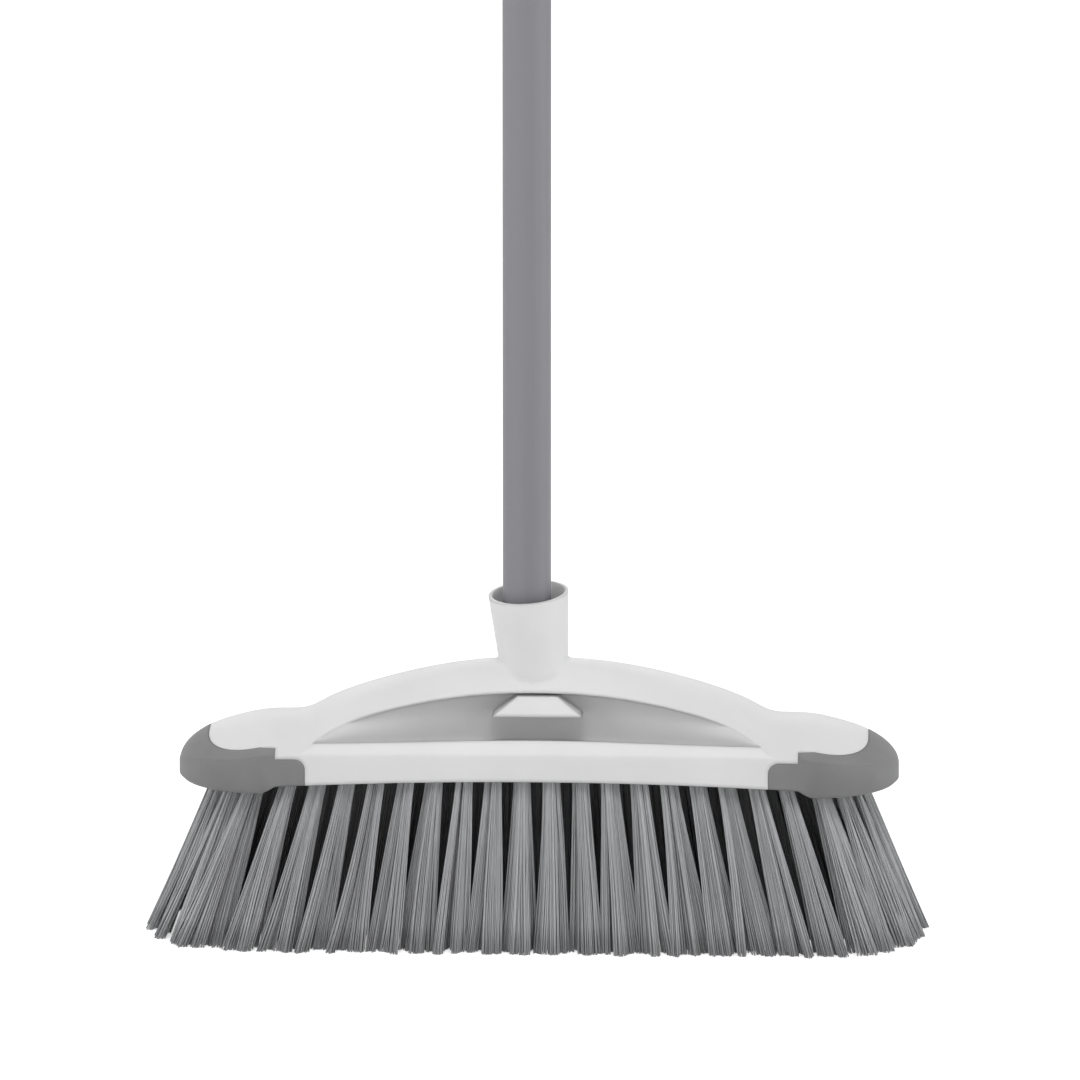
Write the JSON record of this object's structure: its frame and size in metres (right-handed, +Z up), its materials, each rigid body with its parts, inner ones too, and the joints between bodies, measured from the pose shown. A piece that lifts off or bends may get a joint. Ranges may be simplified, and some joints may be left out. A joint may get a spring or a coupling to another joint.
{
  "type": "broom",
  "caption": "Upright floor broom with an arched white head, soft corner bumpers, flared tufts of filament and a screw-in tube handle with a hanging cap.",
  "frame": {"origin": "on the floor under the middle of the head, at the level of the bristle tips", "axes": "+Z up along the handle, +X along the head towards its right end seen from the front, front faces -Y"},
  "size_m": [0.3562, 0.1046, 1.352],
  "materials": {
    "white_plastic": "fine moulded grain",
    "grey_rubber": "matt",
    "coated_tube": "satin grey coating",
    "grey_plastic": "matt",
    "grey_filament": "satin filament",
    "anchor_wire": "drawn wire"
  },
  "bodies": {
    "head": {"head_block": "white_plastic", "bumper_left": "grey_rubber", "bumper_right": "grey_rubber", "tuft_anchors": "anchor_wire", "outer_tufts_01": "grey_filament", "outer_tufts_02": "grey_filament", "outer_tufts_03": "grey_filament", "outer_tufts_04": "grey_filament", "outer_tufts_05": "grey_filament", "outer_tufts_06": "grey_filament", "outer_tufts_07": "grey_filament", "outer_tufts_08": "grey_filament", "outer_tufts_09": "grey_filament", "outer_tufts_10": "grey_filament", "outer_tufts_11": "grey_filament", "outer_tufts_12": "grey_filament", "outer_tufts_13": "grey_filament", "outer_tufts_14": "grey_filament", "outer_tufts_15": "grey_filament", "outer_tufts_16": "grey_filament", "outer_tufts_17": "grey_filament", "outer_tufts_18": "grey_filament", "inner_tufts_01": "grey_filament", "inner_tufts_02": "grey_filament", "inner_tufts_03": "grey_filament", "inner_tufts_04": "grey_filament", "inner_tufts_05": "grey_filament", "inner_tufts_06": "grey_filament", "inner_tufts_07": "grey_filament", "inner_tufts_08": "grey_filament", "inner_tufts_09": "grey_filament", "inner_tufts_10": "grey_filament", "inner_tufts_11": "grey_filament", "inner_tufts_12": "grey_filament", "inner_tufts_13": "grey_filament", "inner_tufts_14": "grey_filament", "inner_tufts_15": "grey_filament", "inner_tufts_16": "grey_filament", "inner_tufts_17": "grey_filament", "inner_tufts_18": "grey_filament", "inner_tufts_19": "grey_filament", "tufts_left_end": "grey_filament", "tufts_right_end": "grey_filament"},
    "handle": {"handle_tube": "coated_tube", "thread_tip": "grey_plastic", "hang_cap": "grey_plastic"}
  },
  "joints": [
    {"name": "handle_screw", "type": "hinge", "parent": "head", "child": "handle", "pos_m": [-0.0055, 0, 0.118], "axis": [0, 0, 1], "range_deg": [0, 1440]}
  ]
}
